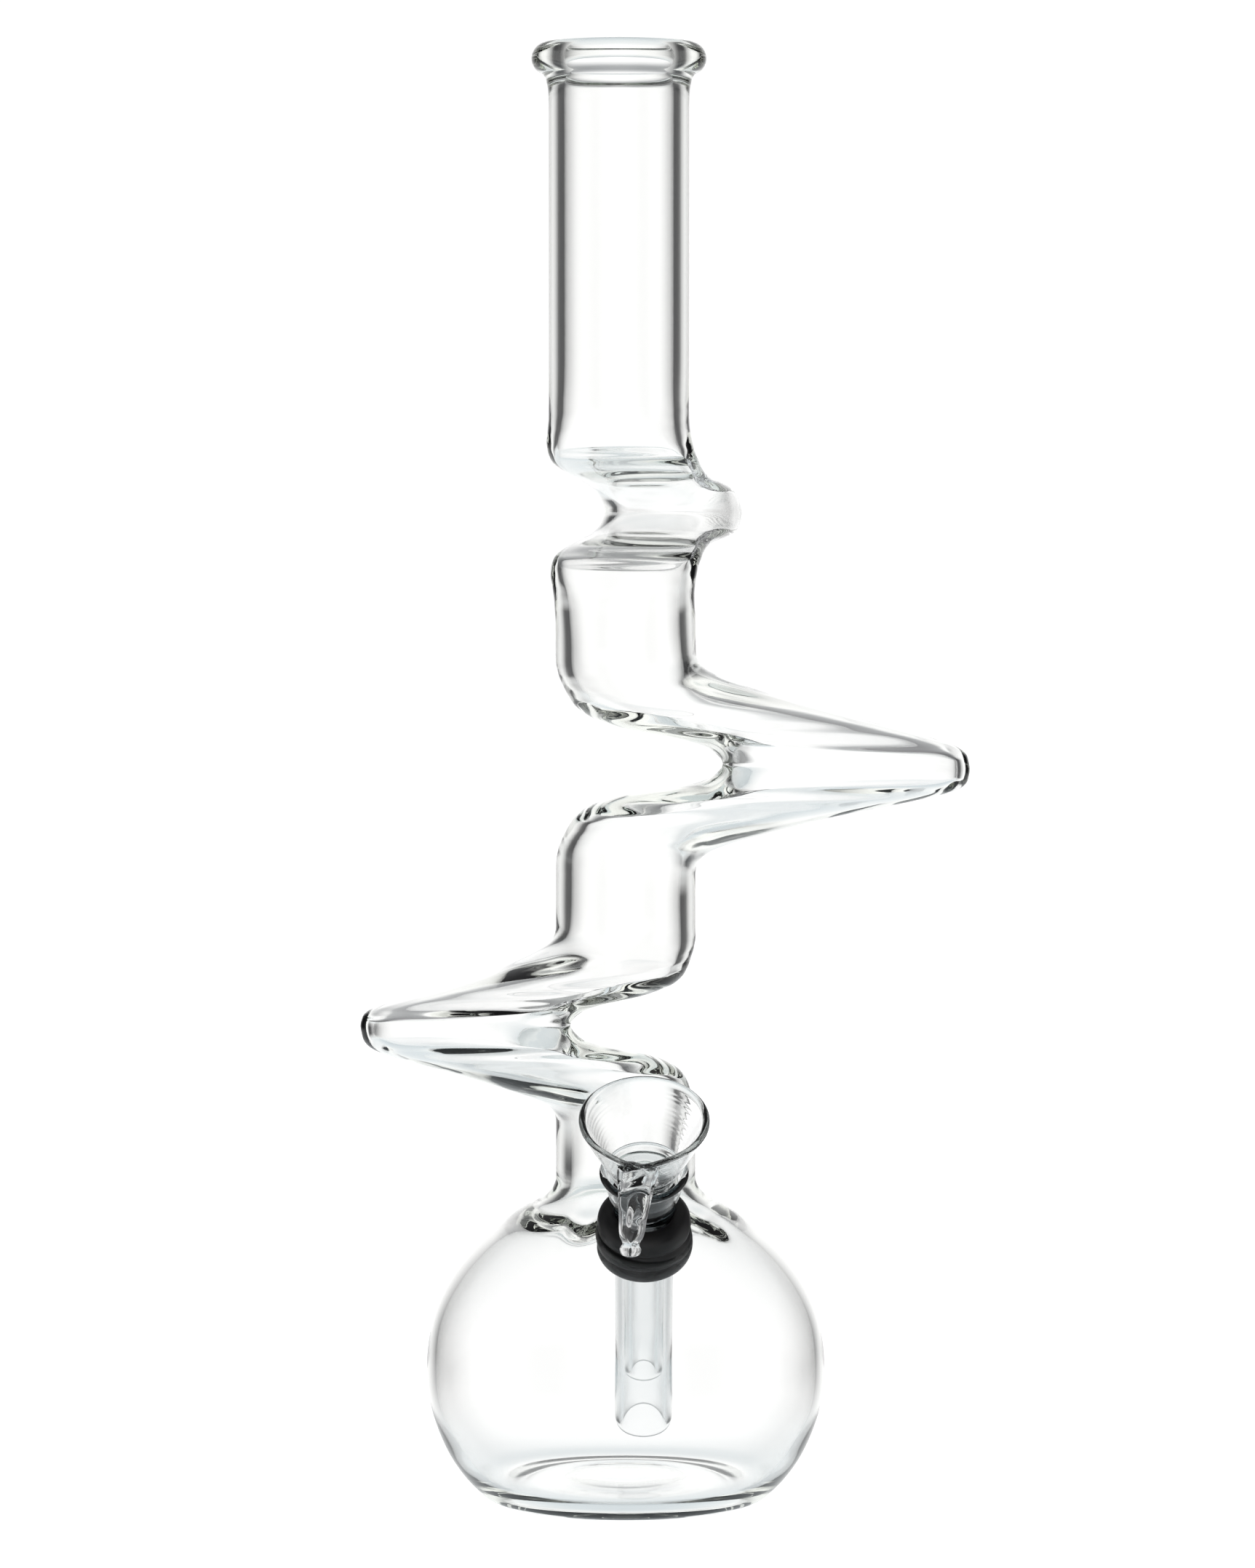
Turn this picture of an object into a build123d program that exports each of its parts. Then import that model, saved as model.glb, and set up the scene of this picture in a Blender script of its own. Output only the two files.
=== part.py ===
from build123d import *
import math
import os

# A clear glass water pipe: a round flat-bottomed bubble, a neck with three pointed
# kinks, a rolled mouthpiece, and a slanted stem that sits in a rubber grommet.
# Millimetres, +Z up. The origin is the centre of the base on the surface it stands on.
# The stem faces -Y. The vessel is one fused piece of glass on the real object. Here it is
# divided at the levels where its tube sections are welded together, at the point of each
# kink, and into the base, wall and shoulder of the bubble.

# Neck tube
TUBE_R = 19.0
WALL = 4.2
NECK_WELD_Z = 87.5
KINK_REACH_Z = 30.0
UPPER_TUBE_SHIFT = -1.8
LIP_TUBE_Z = 379.2

# Mouthpiece lip
LIP_RING_R = 19.2
LIP_ROLL_R = 4.4
LIP_TOP_Z = 395.2

# Outer shape of a kink of full size: height above its middle, then the distance from the
# neck's axis of the pointed side (with long or short arms) and of the notched side.
LONG_ARMS = [(0, 95.0), (4, 94.2), (6, 91.7), (7.4, 87.4), (10.5, 74.6), (13.4, 61.5), (16, 51.3),
             (18.8, 41.1), (21.7, 30.9), (24, 24.6), (26, 21.2), (28, 19.6), (30, 19.0)]
SHORT_ARMS = [(0, 95.0), (4, 94.2), (6, 91.0), (7.4, 82.0), (9, 60.0), (12, 38.0), (15, 27.0),
              (18, 22.0), (22, 19.5), (26, 19.0), (30, 19.0)]
NOTCHED_SIDE = [(0, 27.4), (2, 26.0), (4, 23.4), (6, 18.5), (7.4, 9.0), (8.7, 0.0), (11.9, -9.0),
                (15, -13.5), (19, -16.0), (23, -18.0), (27, -18.9), (30, -19.0)]
# Half width across the kink, and how far its widest place is moved towards the neck.
WIDTH = [(0, 16.5), (9, 16.5), (13, 18.5), (18, 19.2), (24, 19.0), (30, 19.0)]
TAPER = [(0, 0.2), (6, 0.3), (12, 0.45), (18, 0.3), (24, 0.1), (30, 0.0)]
# The level cuts are ellipses, but fuller near the middle: this power at heights up to FULL_BELOW,
# and 1 from PLAIN_ABOVE.
FULLNESS = 0.85
FULL_BELOW = 6.0
PLAIN_ABOVE = 21.0
SLICES = [0, 2.5, 4.5, 6, 7.4, 9, 11, 13.4, 16, 19, 22, 25.5, 30]
SLICE_POINTS = 18

# Each kink: height of its middle, direction in degrees from +X, distance of its point and
# of its notch from the neck's axis, height scale above and below, rise from the neck to the
# point, and the shape of its arms.
KINKS = {
    "kink_lower": {"z": 131.0, "turn": 218.0, "tip": 86.3, "notch": 24.0, "up": 0.84, "down": 0.93,
                   "rise": 3.3, "arms": LONG_ARMS},
    "kink_middle": {"z": 201.7, "turn": -15.0, "tip": 95.0, "notch": 28.2, "up": 0.97, "down": 1.0,
                    "rise": -1.4, "arms": LONG_ARMS},
    "kink_upper": {"z": 269.6, "turn": 73.5, "tip": 87.0, "notch": 20.0, "up": 1.0, "down": 1.0,
                   "rise": -2.0, "arms": SHORT_ARMS},
}
PROFILE_TIP = 95.0
PROFILE_NOTCH = 27.4

# Bubble: radius against height, outside and inside
BUBBLE_OUTSIDE = [(19.0, 87.5), (22.6, 82.4), (29.3, 79.0), (37.0, 72.9), (47.2, 60.9), (52.5, 49.2),
                  (54.3, 36.5), (53.2, 25.6), (48.9, 13.9), (44.0, 6.5), (38.5, 0.8)]
BUBBLE_INSIDE = [(14.8, 87.5), (18.6, 80.0), (26.5, 76.6), (35.0, 70.4), (45.1, 59.2), (50.2, 48.3),
                 (51.8, 36.5), (50.6, 25.2), (46.2, 15.0), (41.5, 8.6), (37.0, 5.3), (33.0, 4.6)]
REST_RING_OUTER_R = 37.0
REST_RING_INNER_R = 34.6
PUNT_RING_R = 30.0
PUNT_RING_Z = 1.8
PUNT_STEP_R = 16.0
PUNT_STEP_Z = 2.4
PUNT_DISC_R = 13.0
PUNT_DISC_Z = 3.2
FLOOR_Z = 6.2
BASE_TOP_Z = 8.0
SHOULDER_Z = 64.0

# Stem: its axis crosses the bubble at this height, this far to the right of the middle
STEM_X = 4.9
STEM_Z = 36.5
STEM_ANGLE = 54.5
STEM_HOLE_R = 10.5
STEM_HOLE_START = 42.6
STEM_HOLE_LENGTH = 22.0

# Downstem, measured along the stem axis from the bubble's middle
DOWNSTEM_R = 7.7
DOWNSTEM_WALL = 1.8
DOWNSTEM_END = -21.3
CUP_START = 57.2
CUP_END = 72.1
CUP_R = 10.9
CUP_LIP_R = 1.0

# Grommet: the wall of the bubble crosses its middle
GROMMET_R = 12.7
GROMMET_INNER_END = 40.5
GROMMET_OUTER_END = 56.9
GROMMET_END_R = 11.0
GROMMET_ROUNDING = 1.6
FIT = 0.05

# Slide: a funnel on a long stem, with a handle, sealed by a rubber ring in the cup
SLIDE_STEM_R = 5.2
SLIDE_BORE_R = 3.5
SLIDE_END = -1.2
FUNNEL_NECK = 66.4
FUNNEL_FOOT = 69.0
FUNNEL_FOOT_R = 8.0
FUNNEL_WAIST = 73.0
FUNNEL_WAIST_R = 9.6
FUNNEL_RIM = 90.3
FUNNEL_RIM_R = 17.4
FUNNEL_WALL = 1.4
SEAL_START = 59.3
SEAL_END = 65.5
SEAL_BOTTOM_R = 6.9
SEAL_TOP_R = 8.6

# Handle: its turn about the stem axis in degrees, then rows of distance out from that axis,
# place along it, half width and half thickness
HANDLE_TURN = -6.0
HANDLE_ROWS = [(15.2, 86.9, 5.0, 2.0), (19.0, 85.6, 4.7, 2.0), (24.5, 83.9, 4.3, 2.0),
               (30.0, 81.0, 3.4, 2.1), (34.2, 76.8, 2.6, 2.2)]
HANDLE_BALL_R = 2.8


def level(rows, height):
    """Read a value at a height from rows of (height, value), in straight steps."""
    for (low, first), (high, second) in zip(rows, rows[1:]):
        if height <= high:
            return first + (second - first) * (height - low) / (high - low)
    return rows[-1][1]


def neck_shift(z):
    """Sideways place of the neck's axis, which moves over in the upper half of the upper kink."""
    share = (z - KINKS["kink_upper"]["z"]) / KINK_REACH_Z
    return UPPER_TUBE_SHIFT * min(max(share, 0.0), 1.0)


def full_height(kink, height):
    """Height above or below a kink's middle, as it would be in a kink of full size."""
    return abs(height) / (kink["up"] if height > 0 else kink["down"])


def outer_sides(kink, height):
    """Distances of the notched and the pointed side from the axis, at one height."""
    full = full_height(kink, height)
    tip = level(kink["arms"], full)
    notch = level(NOTCHED_SIDE, full)
    tip = TUBE_R + (tip - TUBE_R) * (kink["tip"] - TUBE_R) / (PROFILE_TIP - TUBE_R)
    notch = -TUBE_R + (notch + TUBE_R) * (kink["notch"] + TUBE_R) / (PROFILE_NOTCH + TUBE_R)
    return notch, tip


def inner_sides(kink, height):
    """The same two distances inside the glass, one wall thickness from the outside."""
    notch, tip = -TUBE_R, PROFILE_TIP
    steps = 40
    for step in range(-steps, steps + 1):
        away = WALL * step / steps
        reach = math.sqrt(WALL ** 2 - away ** 2)
        outer_notch, outer_tip = outer_sides(kink, height + away)
        notch = max(notch, outer_notch + reach)
        tip = min(tip, outer_tip - reach)
    return notch, tip


def fuller(share, full):
    """A cosine or sine, pushed outwards near the middle of a kink."""
    plain = min(max((full - FULL_BELOW) / (PLAIN_ABOVE - FULL_BELOW), 0.0), 1.0)
    power = FULLNESS + (1 - FULLNESS) * plain
    return math.copysign(abs(share) ** power, share)


def slice_wire(kink, height, inside):
    """One level cut through a kink: an egg-shaped closed curve."""
    notch, tip = inner_sides(kink, height) if inside else outer_sides(kink, height)
    full = full_height(kink, height)
    width = level(WIDTH, full) - (WALL if inside else 0.0)
    taper = level(TAPER, full)
    middle, half = (notch + tip) / 2, (tip - notch) / 2
    turn = math.radians(kink["turn"])
    tilt = kink["rise"] / kink["tip"] * (1 - full / KINK_REACH_Z)
    z = kink["z"] + height
    points = []
    for number in range(SLICE_POINTS):
        angle = 2 * math.pi * number / SLICE_POINTS
        along = fuller(math.cos(angle), full)
        out = middle + half * along
        across = width * fuller(math.sin(angle), full) * (1 - taper * along)
        x = neck_shift(z) + out * math.cos(turn) - across * math.sin(turn)
        y = out * math.sin(turn) + across * math.cos(turn)
        points.append((x, y, z + tilt * out))
    return Wire([Edge.make_spline([Vector(*point) for point in points], periodic=True)])


def make_arm(name, side):
    """The part of a kink over (side 1) or under (side -1) its point: outer loft less inner one."""
    kink = KINKS[name]
    tall = kink["up"] if side > 0 else kink["down"]
    heights = [side * tall * height for height in SLICES]
    outside = Solid.make_loft([slice_wire(kink, height, False) for height in heights], ruled=True)
    inside = Solid.make_loft([slice_wire(kink, height, True) for height in heights], ruled=True)
    return outside - inside


def kink_end(name, side):
    """Height of a kink's lower (side -1) or upper (side +1) end plane."""
    kink = KINKS[name]
    return kink["z"] + side * (kink["up"] if side > 0 else kink["down"]) * KINK_REACH_Z


def make_tube(bottom, top, x):
    """A straight length of neck tube between two heights."""
    ring = Circle(TUBE_R) - Circle(TUBE_R - WALL)
    return Pos(x, 0, bottom) * extrude(ring, amount=top - bottom)


def make_lip():
    """The rolled lip and the short flare that leads into it."""
    bore = TUBE_R - WALL
    roll_z = LIP_TOP_Z - LIP_ROLL_R
    diagonal = LIP_ROLL_R * math.sin(math.radians(45))
    with BuildPart() as lip:
        with BuildSketch(Plane.XZ):
            with BuildLine():
                Polyline((TUBE_R, LIP_TUBE_Z), (bore, LIP_TUBE_Z), (bore, roll_z))
                ThreePointArc((bore, roll_z), (LIP_RING_R, LIP_TOP_Z), (LIP_RING_R + LIP_ROLL_R, roll_z))
                ThreePointArc((LIP_RING_R + LIP_ROLL_R, roll_z),
                              (LIP_RING_R + diagonal, roll_z - diagonal),
                              (LIP_RING_R, roll_z - LIP_ROLL_R))
                Line((LIP_RING_R, roll_z - LIP_ROLL_R), (TUBE_R, LIP_TUBE_Z))
            make_face()
        revolve(axis=Axis.Z)
    return Pos(UPPER_TUBE_SHIFT, 0, 0) * lip.part


def stem_plane():
    """The stem's own frame: its z axis runs out of the bubble along the stem."""
    angle = math.radians(STEM_ANGLE)
    return Plane(origin=(STEM_X, 0, STEM_Z), x_dir=(1, 0, 0), z_dir=(0, -math.cos(angle), math.sin(angle)))


def on_stem(profile):
    """Turn a closed profile of (radius, place along the stem) about the stem axis."""
    face = make_face(Polyline(*profile, close=True))
    upright = Plane.XZ * face
    return stem_plane().location * revolve(upright, axis=Axis.Z)


def make_bubble():
    """The bubble with its pushed-up base, and the hole for the grommet."""
    with BuildPart() as bubble:
        with BuildSketch(Plane.XZ):
            with BuildLine():
                Spline(*BUBBLE_OUTSIDE)
                Polyline(BUBBLE_OUTSIDE[-1], (REST_RING_OUTER_R, 0), (REST_RING_INNER_R, 0),
                         (PUNT_RING_R, PUNT_RING_Z), (PUNT_STEP_R, PUNT_STEP_Z), (PUNT_DISC_R, PUNT_DISC_Z),
                         (0, PUNT_DISC_Z), (0, FLOOR_Z), BUBBLE_INSIDE[-1])
                Spline(*BUBBLE_INSIDE)
                Line(BUBBLE_INSIDE[0], BUBBLE_OUTSIDE[0])
            make_face()
        revolve(axis=Axis.Z)
    hole = Pos(0, 0, STEM_HOLE_START) * Cylinder(
        STEM_HOLE_R, STEM_HOLE_LENGTH, align=(Align.CENTER, Align.CENTER, Align.MIN))
    return bubble.part - stem_plane().location * hole


def bubble_between(bubble, bottom, top):
    """The part of the bubble between two heights."""
    slab = Cylinder(60, top - bottom, align=(Align.CENTER, Align.CENTER, Align.MIN))
    return bubble & Pos(0, 0, bottom) * slab


def make_grommet(bubble):
    """A rubber grommet that fills the hole and grips both faces of the glass."""
    bore = DOWNSTEM_R + FIT
    profile = [(bore, GROMMET_INNER_END), (GROMMET_END_R, GROMMET_INNER_END),
               (GROMMET_R, GROMMET_INNER_END + GROMMET_ROUNDING),
               (GROMMET_R, GROMMET_OUTER_END - 2 * GROMMET_ROUNDING),
               (GROMMET_R - 0.6, GROMMET_OUTER_END - GROMMET_ROUNDING),
               (GROMMET_END_R, GROMMET_OUTER_END), (bore, GROMMET_OUTER_END)]
    return on_stem(profile) - bubble


def make_downstem_tube():
    """The straight tube that reaches down into the bubble."""
    inner = DOWNSTEM_R - DOWNSTEM_WALL
    return on_stem([(inner, DOWNSTEM_END), (DOWNSTEM_R, DOWNSTEM_END), (DOWNSTEM_R, CUP_START),
                    (inner, CUP_START)])


def make_downstem_cup():
    """The flared cup on top of the downstem, with its rolled lip."""
    inner = DOWNSTEM_R - DOWNSTEM_WALL
    lip_z = CUP_END - CUP_LIP_R
    mouth = CUP_R - CUP_LIP_R
    return on_stem([(inner, CUP_START), (DOWNSTEM_R, CUP_START), (8.6, 60.0), (10.3, 66.5),
                    (CUP_R, lip_z - CUP_LIP_R), (CUP_R + CUP_LIP_R, lip_z), (CUP_R, CUP_END),
                    (mouth, CUP_END), (mouth, 69.0), (8.9, 65.5), (7.1, 59.2)])


def make_seal():
    """The tapered rubber ring between the slide's stem and the cup."""
    bore = SLIDE_STEM_R + FIT
    return on_stem([(bore, SEAL_START), (SEAL_BOTTOM_R, SEAL_START), (SEAL_TOP_R, SEAL_END - 0.8),
                    (SEAL_TOP_R - 0.8, SEAL_END), (bore, SEAL_END)])


def make_slide_stem():
    """The slide's long inner tube."""
    return on_stem([(SLIDE_BORE_R, SLIDE_END), (SLIDE_STEM_R, SLIDE_END), (SLIDE_STEM_R, FUNNEL_NECK),
                    (SLIDE_BORE_R, FUNNEL_NECK)])


def make_funnel():
    """The funnel bowl, from the stem's top to its wide rim."""
    return on_stem([(SLIDE_BORE_R, FUNNEL_NECK), (SLIDE_STEM_R, FUNNEL_NECK), (FUNNEL_FOOT_R - 1.2, 67.2),
                    (FUNNEL_FOOT_R, FUNNEL_FOOT), (FUNNEL_WAIST_R, FUNNEL_WAIST),
                    (FUNNEL_RIM_R, FUNNEL_RIM - 1.0), (FUNNEL_RIM_R - 0.5, FUNNEL_RIM),
                    (FUNNEL_RIM_R - 2.0, FUNNEL_RIM), (FUNNEL_WAIST_R - FUNNEL_WALL, FUNNEL_WAIST + 0.4),
                    (FUNNEL_FOOT_R - FUNNEL_WALL, 71.2), (SLIDE_BORE_R, 70.4)])


def make_handle(funnel):
    """The drawn-out glass handle, flattened at the funnel, with a ball on its end."""
    line = Spline(*[(0, -out, along) for out, along, _, _ in HANDLE_ROWS])
    sections = []
    for number, (_, _, wide, thick) in enumerate(HANDLE_ROWS):
        place = number / (len(HANDLE_ROWS) - 1)
        sections.append(Plane(line @ place, x_dir=(1, 0, 0), z_dir=line % place) * Ellipse(wide, thick))
    handle = loft(sections) + Pos(*(line @ 1)) * Sphere(HANDLE_BALL_R)
    return stem_plane().location * (Rot(0, 0, HANDLE_TURN) * handle) - funnel


def write_part(name, shape):
    shape.label = name
    export_step(shape, os.path.join("parts", name + ".step"))


os.makedirs("parts", exist_ok=True)
bubble = make_bubble()
slide_bowl = make_funnel()
write_part("bubble_base", bubble_between(bubble, 0, BASE_TOP_Z))
write_part("bubble_wall", bubble_between(bubble, BASE_TOP_Z, SHOULDER_Z))
write_part("bubble_shoulder", bubble_between(bubble, SHOULDER_Z, NECK_WELD_Z))
write_part("neck_foot", make_tube(NECK_WELD_Z, kink_end("kink_lower", -1), 0))
write_part("neck_lower", make_tube(kink_end("kink_lower", 1), kink_end("kink_middle", -1), 0))
write_part("neck_upper", make_tube(kink_end("kink_middle", 1), kink_end("kink_upper", -1), 0))
write_part("mouth_tube", make_tube(kink_end("kink_upper", 1), LIP_TUBE_Z, UPPER_TUBE_SHIFT))
write_part("mouth_lip", make_lip())
for kink_name in KINKS:
    write_part(kink_name + "_under", make_arm(kink_name, -1))
    write_part(kink_name + "_over", make_arm(kink_name, 1))
write_part("stem_grommet", make_grommet(bubble))
write_part("downstem_tube", make_downstem_tube())
write_part("downstem_cup", make_downstem_cup())
write_part("slide_seal", make_seal())
write_part("slide_stem", make_slide_stem())
write_part("slide_bowl", slide_bowl)
write_part("slide_handle", make_handle(slide_bowl))
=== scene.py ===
import math

import bmesh
import bpy
import numpy as np
from mathutils import Matrix, Vector


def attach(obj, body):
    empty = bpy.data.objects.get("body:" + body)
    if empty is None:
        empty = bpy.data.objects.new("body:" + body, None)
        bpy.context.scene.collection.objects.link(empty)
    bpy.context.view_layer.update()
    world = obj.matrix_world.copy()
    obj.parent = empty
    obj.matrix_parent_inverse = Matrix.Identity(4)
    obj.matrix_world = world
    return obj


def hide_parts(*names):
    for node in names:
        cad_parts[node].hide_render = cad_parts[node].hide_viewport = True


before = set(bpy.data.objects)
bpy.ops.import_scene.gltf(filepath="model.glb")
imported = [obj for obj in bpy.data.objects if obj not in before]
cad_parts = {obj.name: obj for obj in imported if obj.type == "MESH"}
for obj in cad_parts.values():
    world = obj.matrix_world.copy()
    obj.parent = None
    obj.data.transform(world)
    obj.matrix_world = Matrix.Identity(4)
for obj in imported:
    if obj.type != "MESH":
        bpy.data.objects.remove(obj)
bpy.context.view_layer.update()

# A clear glass water pipe with a kinked neck. All lengths below are in millimetres in the
# object's frame, and are turned into metres when a mesh is made. The vessel, the downstem and
# the slide are each one continuous piece of glass here, so that light passes through them as
# it does through real fused glass, and each replaces the CAD nodes that it is divided into.

MM = 0.001

# Neck, lip and kinks
TUBE_R = 19.0
WALL = 4.2
KINK_WALL = 2.6
TIP_WALL = 3.4
NOTCH_WALL = 3.8
# How far the thick glass at a kink's point and in its notch reaches: half height in a full-size
# kink, and half width round the ring in radians
TIP_REACH = (6.5, 0.85)
NOTCH_REACH = (10.0, 1.2)
# Where glass has gathered: extra thickness, its height in a full-size kink, its half height there,
# and its half width round the ring in radians. The corners are on the pointed side, the folds and
# beads on the notched side.
CORNER = (1.6, 23.5, 4.0, 0.5)
FOLD = (0.6, 15.0, 5.5, 0.9)
BEAD = (2.0, 3.6, 2.2, 0.5)
# Share of a kink's reach over which its wall thins to KINK_WALL, and how uneven the wall is: the
# depth of its ripple, and the range of the ripple's lengths up the neck
THINNING_SHARE = 0.8
UNEVENNESS = 0.15
RIPPLE_LENGTHS = (14, 34)
RIPPLE_SEED = 4
# Near a kink's middle its rings are fuller than ellipses: FULLNESS is a power, and 1 is an ellipse.
# They are at their fullest below one height in a full-size kink, and plain above the other.
FULLNESS = 0.85
FULL_BELOW = 6.0
PLAIN_ABOVE = 21.0
NECK_WELD_Z = 87.5
KINK_REACH_Z = 30.0
UPPER_TUBE_SHIFT = -1.8
LIP_TUBE_Z = 379.2
LIP_RING_R = 19.2
LIP_ROLL_R = 4.4
LIP_TOP_Z = 395.2
# Each kink: height of its middle, bearing of its point in degrees from +X, how far its point and its
# notch reach, its upper and its lower half's height against full size, how much its point lies
# above its middle, and the profile of its arms
KINKS = {
    "kink_lower": {"z": 131.0, "turn": 218.0, "tip": 86.3, "notch": 24.0, "up": 0.84, "down": 0.93,
                   "rise": 3.3, "arms": "long"},
    "kink_middle": {"z": 201.7, "turn": -15.0, "tip": 95.0, "notch": 28.2, "up": 0.97, "down": 1.0,
                    "rise": -1.4, "arms": "long"},
    "kink_upper": {"z": 269.6, "turn": 73.5, "tip": 87.0, "notch": 20.0, "up": 1.0, "down": 1.0,
                   "rise": -2.0, "arms": "short"},
}
# Profiles of a full-size kink, by height above or below its middle: how far the pointed and the
# notched side reach from the axis, the half width, and how much narrower it is towards the point
PROFILE_TIP = 95.0
PROFILE_NOTCH = 27.4
LONG_ARMS = [(0, 95.0), (4, 94.2), (6, 91.7), (7.4, 87.4), (10.5, 74.6), (13.4, 61.5), (16, 51.3),
             (18.8, 41.1), (21.7, 30.9), (24, 24.6), (26, 21.2), (28, 19.6), (30, 19.0)]
SHORT_ARMS = [(0, 95.0), (4, 94.2), (6, 91.0), (7.4, 82.0), (9, 60.0), (12, 38.0), (15, 27.0),
              (18, 22.0), (22, 19.5), (26, 19.0), (30, 19.0)]
NOTCHED_SIDE = [(0, 27.4), (2, 26.0), (4, 23.4), (6, 18.5), (7.4, 9.0), (8.7, 0.0), (11.9, -9.0),
                (15, -13.5), (19, -16.0), (23, -18.0), (27, -18.9), (30, -19.0)]
WIDTH = [(0, 16.5), (6, 16.5), (9, 16.5), (13, 18.5), (18, 19.2), (24, 19.0), (30, 19.0)]
TAPER = [(0, 0.2), (6, 0.3), (12, 0.45), (18, 0.3), (24, 0.1), (30, 0.0)]
# How far the profiles' corners are softened, and how finely the neck is divided: the rings of plain
# tube lie further apart by PLAIN_TUBE_SHARE
SOFTENING = 0.7
TABLE_REACH = 40.0
TABLE_STEP = 0.05
LEVEL_STEP = 0.02
RING_STEP = 1.0
PLAIN_TUBE_SHARE = 0.35
SMOOTHING_ROUNDS = 14
NECK_SEGMENTS = 128

# Bubble, outside and inside, from the weld down to the base, then the base
BUBBLE_OUTSIDE = [(19.0, 87.5), (19.9, 85.2), (22.6, 82.4), (29.3, 79.0), (37.0, 72.9), (47.2, 60.9),
                  (52.5, 49.2), (54.3, 36.5), (53.2, 25.6), (48.9, 13.9), (44.0, 6.5), (39.0, 1.4)]
BASE_OUTSIDE = [(39.0, 1.4), (37.0, 0.5), (34.8, 0.05), (32.5, 0.1), (29.5, 0.4), (26.0, 0.7),
                (21.0, 0.9), (17.0, 1.2), (14.5, 1.6), (12.0, 1.9), (8.0, 2.0), (0.0, 2.0)]
BUBBLE_INSIDE = [(14.8, 87.5), (15.3, 84.8), (17.2, 81.5), (20.8, 78.8), (26.5, 76.3), (35.0, 70.4),
                 (45.1, 59.0), (50.2, 48.3), (51.8, 36.5), (50.6, 25.4), (46.2, 14.9), (41.4, 8.3),
                 (37.4, 5.2), (33.0, 3.9), (28.0, 3.6), (22.0, 3.9), (17.6, 4.3), (14.6, 4.9), (11.5, 5.2),
                 (6.0, 5.1), (0.0, 5.2)]

# Stem
STEM_X = 4.9
STEM_Z = 36.5
STEM_ANGLE = 54.5
STEM_HOLE_R = 10.5
STEM_HOLE_START = 42.6
STEM_HOLE_END = 64.6
STEM_SEGMENTS = 96
GROMMET_BORE_R = 7.75
SEAL_BORE_R = 5.25

# Weld of the neck to the bubble, on the inside: depth, radius and half width of a thick ring, then
# runs of glass that hang from it, each with its direction in radians, depth, half width in
# radians, and reach past RUN_BASE_R
WELD_RING = (1.0, 22.0, 5.0)
RUNS = ((-2.0, 2.6, 0.16, 10.0), (-2.5, 1.3, 0.35, 7.0), (-0.62, 2.4, 0.14, 10.5), (1.0, 1.6, 0.3, 7.0),
        (2.3, 1.6, 0.35, 6.0))
RUN_START_R = 20.0
RUN_BASE_R = 18.0
RUN_BOTTOM_Z = 60.0
RUN_TOP_Z = 90.0
RUN_FADE = 6.0
RUN_START_SOFTNESS = 1.8
RUN_END_SOFTNESS = 2.4

# Funnel: where it starts along the stem and its height, its tool marks, and how far its rim is
# drawn out and down where the handle joins it, within a half width in radians
FUNNEL_START = 76.0
FUNNEL_HEIGHT = 14.0
TOOL_MARK = 0.05
TOOL_MARK_WAVES = 4.0
RIM_DRAWN_OUT = 0.25
RIM_DRAWN_DOWN = 1.3
RIM_DIP_HALF_WIDTH = 0.32

# Handle rows: distance out from the stem axis, place along it, half width and half thickness
HANDLE_TURN = math.radians(-6)
HANDLE_TWIST = 0.30
HANDLE_SEGMENTS = 32
HANDLE_ROWS = [(15.0, 86.5, 5.4, 2.0), (17.0, 86.3, 5.3, 2.4), (19.5, 85.7, 5.0, 2.4),
               (24.5, 83.7, 4.5, 2.3), (29.6, 80.9, 3.7, 2.2), (32.6, 78.6, 3.0, 2.1),
               (34.1, 77.0, 2.1, 2.0), (34.9, 76.0, 2.7, 2.45), (35.8, 75.0, 2.3, 2.2),
               (36.2, 74.5, 0.9, 0.9)]


CURVE_SAMPLES = 24
RING_ANGLES = np.linspace(0, 2 * math.pi, NECK_SEGMENTS, endpoint=False)


def metres(points):
    return np.asarray(points, float) * MM


def new_piece(name, points, faces, material, body, nodes):
    """Make a smooth-shaded mesh piece that rides on a body and stands for some CAD nodes."""
    mesh = bpy.data.meshes.new(name)
    mesh.from_pydata([tuple(p) for p in points], [], faces)
    mesh.validate()
    mesh.update()
    piece = bpy.data.objects.new(name, mesh)
    bpy.context.scene.collection.objects.link(piece)
    mesh.materials.append(material)
    for polygon in mesh.polygons:
        polygon.use_smooth = True
    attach(piece, body)
    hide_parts(*nodes)
    return piece


def even_path(points, step):
    """A smooth line through some points, sampled about a step apart."""
    knots = np.asarray(points, float)
    gaps = np.sqrt(np.linalg.norm(np.diff(knots, axis=0), axis=1))
    places = np.concatenate([[0], np.cumsum(gaps)])
    slopes = np.gradient(knots, places, axis=0)
    fine = []
    for i in range(len(knots) - 1):
        span = places[i + 1] - places[i]
        t = np.linspace(0, 1, CURVE_SAMPLES, endpoint=False)[:, None]
        fine.append((2 * t ** 3 - 3 * t ** 2 + 1) * knots[i] + (t ** 3 - 2 * t ** 2 + t) * span * slopes[i]
                    + (3 * t ** 2 - 2 * t ** 3) * knots[i + 1] + (t ** 3 - t ** 2) * span * slopes[i + 1])
    fine = np.vstack(fine + [knots[-1:]])
    along = np.concatenate([[0], np.cumsum(np.linalg.norm(np.diff(fine, axis=0), axis=1))])
    count = max(2, int(round(along[-1] / step)) + 1)
    wanted = np.linspace(0, along[-1], count)
    return np.stack([np.interp(wanted, along, fine[:, k]) for k in range(knots.shape[1])], axis=1)


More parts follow.
